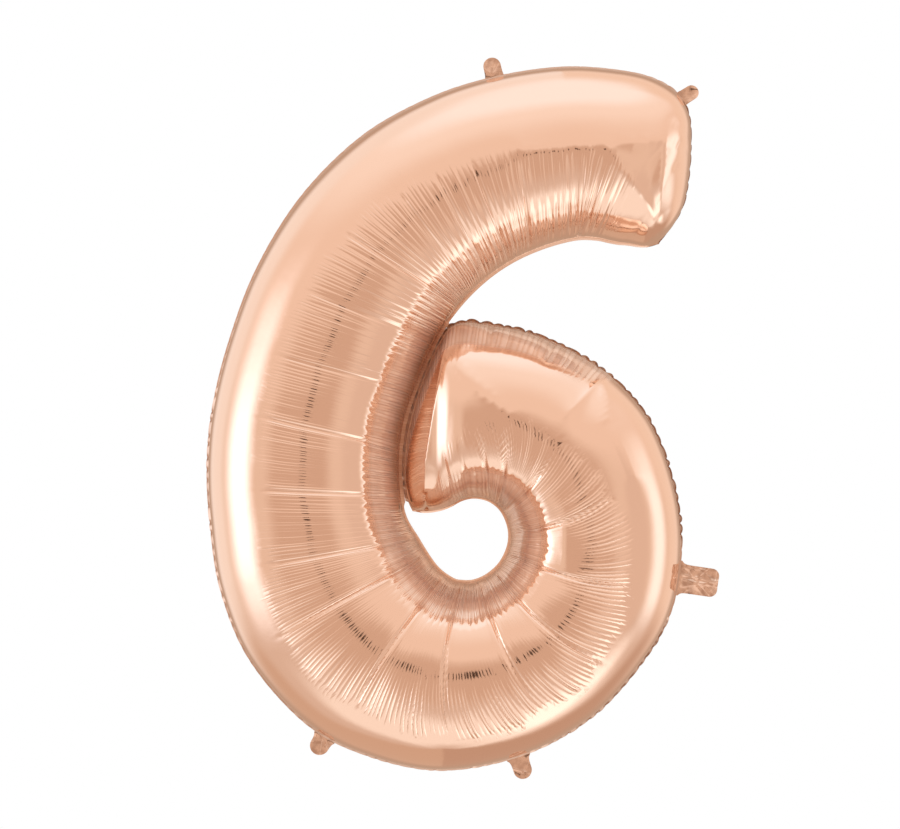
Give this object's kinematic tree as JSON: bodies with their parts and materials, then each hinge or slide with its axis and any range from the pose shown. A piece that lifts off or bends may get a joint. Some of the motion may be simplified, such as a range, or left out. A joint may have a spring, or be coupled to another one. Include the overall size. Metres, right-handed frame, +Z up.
{
  "type": "foil number balloon",
  "caption": "Inflated foil balloon shaped as the figure 6, with a sealed seam, hanging tabs and a self-sealing inflation tail.",
  "frame": {"origin": "root of the top hanging tab, in the seam plane", "axes": "+X to the figure's right, +Z up, the front faces -Y, and the seam lies in the plane Y = 0"},
  "size_m": [0.6124, 0.2064, 0.8617],
  "materials": {
    "rose_gold_foil": "mirror-bright metallised film",
    "valve_film": "clear to milky polyethylene film"
  },
  "bodies": {
    "balloon": {"front_foil_panel": "rose_gold_foil", "back_foil_panel": "rose_gold_foil"},
    "top_tab": {"top_tab_front_ply": "rose_gold_foil", "top_tab_back_ply": "rose_gold_foil"},
    "corner_tab": {"corner_tab_front_ply": "rose_gold_foil", "corner_tab_back_ply": "rose_gold_foil"},
    "left_tab": {"left_tab_front_ply": "rose_gold_foil", "left_tab_back_ply": "rose_gold_foil"},
    "bottom_tab": {"bottom_tab_front_ply": "rose_gold_foil", "bottom_tab_back_ply": "rose_gold_foil"},
    "tail": {"tail_front_ply": "rose_gold_foil", "tail_back_ply": "rose_gold_foil", "valve_front_film": "valve_film", "valve_back_film": "valve_film"},
    "valve_front_flap": {"valve_front_flap": "valve_film"},
    "valve_back_flap": {"valve_back_flap": "valve_film"}
  },
  "joints": [
    {"name": "top_tab_flex", "type": "hinge", "parent": "balloon", "child": "top_tab", "pos_m": [-0.00044, 0, 0.00093], "axis": [0.9747, 0, 0.2235], "range_deg": [-90, 90], "stiffness_Nm_per_rad": 0.0004},
    {"name": "corner_tab_flex", "type": "hinge", "parent": "balloon", "child": "corner_tab", "pos_m": [0.22451, 0, -0.02568], "axis": [0.5335, 0, -0.8458], "range_deg": [-90, 90], "stiffness_Nm_per_rad": 0.0004},
    {"name": "left_tab_flex", "type": "hinge", "parent": "balloon", "child": "left_tab", "pos_m": [-0.20358, 0, -0.7896], "axis": [-0.8571, 0, 0.5151], "range_deg": [-90, 90], "stiffness_Nm_per_rad": 0.0004},
    {"name": "bottom_tab_flex", "type": "hinge", "parent": "balloon", "child": "bottom_tab", "pos_m": [0.02872, 0, -0.81343], "axis": [-0.9499, 0, -0.3127], "range_deg": [-90, 90], "stiffness_Nm_per_rad": 0.0004},
    {"name": "tail_flex", "type": "hinge", "parent": "balloon", "child": "tail", "pos_m": [0.22141, 0, -0.59896], "axis": [-0.1468, 0, -0.9892], "range_deg": [-90, 90], "stiffness_Nm_per_rad": 0.001},
    {"name": "valve_front_flap_flex", "type": "hinge", "parent": "balloon", "child": "valve_front_flap", "pos_m": [0.21626, -0.00037, -0.5982], "axis": [0.1468, 0, 0.9892], "range_deg": [0, 8], "stiffness_Nm_per_rad": 0.002},
    {"name": "valve_back_flap_flex", "type": "hinge", "parent": "balloon", "child": "valve_back_flap", "pos_m": [0.21626, 0.00037, -0.5982], "axis": [-0.1468, 0, -0.9892], "range_deg": [0, 8], "stiffness_Nm_per_rad": 0.002}
  ]
}
